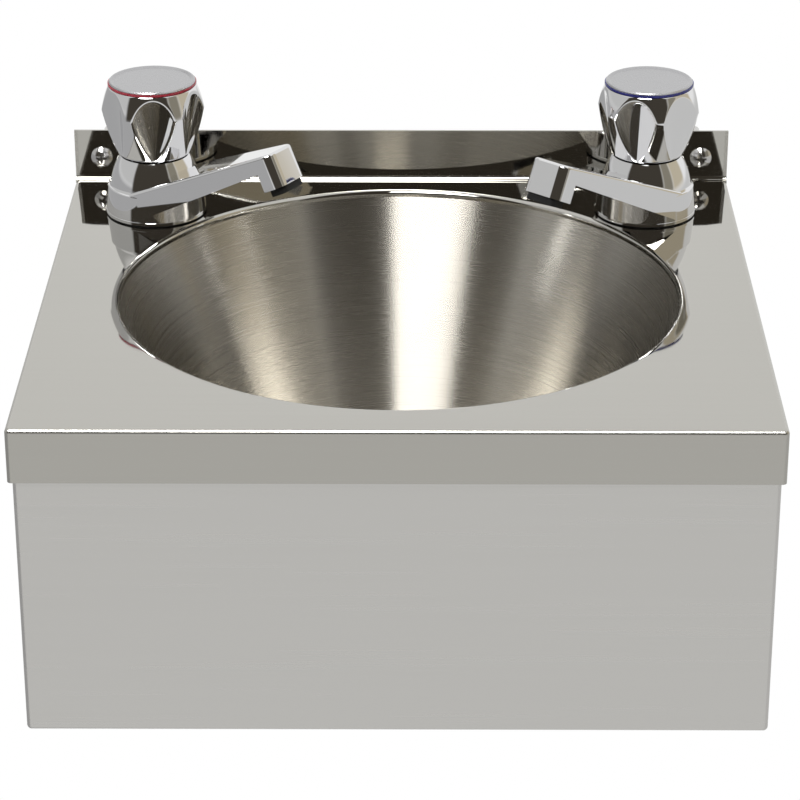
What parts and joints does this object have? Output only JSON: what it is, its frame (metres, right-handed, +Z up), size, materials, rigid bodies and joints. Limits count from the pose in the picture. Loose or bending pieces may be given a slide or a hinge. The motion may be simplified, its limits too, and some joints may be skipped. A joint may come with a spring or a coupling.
{
  "type": "hand wash sink with taps",
  "caption": "Wall-hung stainless steel hand wash sink: folded deck and skirt, round brushed bowl, upstand, chrome pillar taps with turning heads, and a grid waste.",
  "frame": {"origin": "on the wall plane, halfway between the two wall screws", "axes": "+X to the user's right, +Y into the wall, +Z up"},
  "size_m": [0.305, 0.314, 0.2333],
  "materials": {
    "deck_steel": "bright polished stainless sheet",
    "bowl_steel": "satin, brushed round the bowl's axis",
    "skirt_steel": "smooth satin stainless sheet",
    "screw_steel": "bright steel",
    "waste_metal": "chromed brass",
    "chrome": "mirror chrome on brass",
    "disc_chrome": "soft bright chrome",
    "hot_ring": "dark red plastic",
    "cold_ring": "navy blue plastic",
    "black_plastic": "black plastic",
    "black_rubber": "black rubber",
    "white_plastic": "off-white plastic",
    "fibre": "red-brown fibre",
    "brass": "turned brass"
  },
  "bodies": {
    "root": {"deck": "deck_steel", "bowl": "bowl_steel", "skirt": "skirt_steel", "wall_screws": "screw_steel", "waste_body": "waste_metal", "waste_top_seal": "black_rubber", "waste_lower_seal": "black_rubber", "waste_nut": "white_plastic", "hot_tap_body": "chrome", "hot_outlet_insert": "black_plastic", "hot_base_seal": "black_rubber", "hot_top_hat_washer": "white_plastic", "hot_back_nut": "brass", "hot_bonnet_washer": "fibre", "hot_bonnet": "brass", "hot_spindle_seal": "black_rubber", "hot_gland_nut": "brass", "cold_tap_body": "chrome", "cold_outlet_insert": "black_plastic", "cold_base_seal": "black_rubber", "cold_top_hat_washer": "white_plastic", "cold_back_nut": "brass", "cold_bonnet_washer": "fibre", "cold_bonnet": "brass", "cold_spindle_seal": "black_rubber", "cold_gland_nut": "brass"},
    "hot_valve": {"hot_jumper": "brass", "hot_seat_washer": "black_rubber", "hot_washer_nut": "brass"},
    "hot_handle": {"hot_spindle": "brass", "hot_handle": "chrome", "hot_handle_screw": "screw_steel", "hot_index_ring": "hot_ring", "hot_index_disc": "disc_chrome"},
    "cold_valve": {"cold_jumper": "brass", "cold_seat_washer": "black_rubber", "cold_washer_nut": "brass"},
    "cold_handle": {"cold_spindle": "brass", "cold_handle": "chrome", "cold_handle_screw": "screw_steel", "cold_index_ring": "cold_ring", "cold_index_disc": "disc_chrome"}
  },
  "joints": [
    {"name": "hot_valve_lift", "type": "slide", "parent": "root", "child": "hot_valve", "axis": [0, 0, 1], "range_m": [0, 0.0042]},
    {"name": "hot_handle_turn", "type": "hinge", "parent": "hot_valve", "child": "hot_handle", "pos_m": [-0.1116, -0.04109, -0.011], "axis": [0, 0, 1], "range_deg": [0, 630]},
    {"name": "cold_valve_lift", "type": "slide", "parent": "root", "child": "cold_valve", "axis": [0, 0, 1], "range_m": [0, 0.0042]},
    {"name": "cold_handle_turn", "type": "hinge", "parent": "cold_valve", "child": "cold_handle", "pos_m": [0.1116, -0.04109, -0.011], "axis": [0, 0, 1], "range_deg": [0, 630]}
  ],
  "couplings": [
    {"joint": "hot_valve_lift", "follows": "hot_handle_turn", "m_per_rad": 0.00038197},
    {"joint": "cold_valve_lift", "follows": "cold_handle_turn", "m_per_rad": 0.00038197}
  ]
}
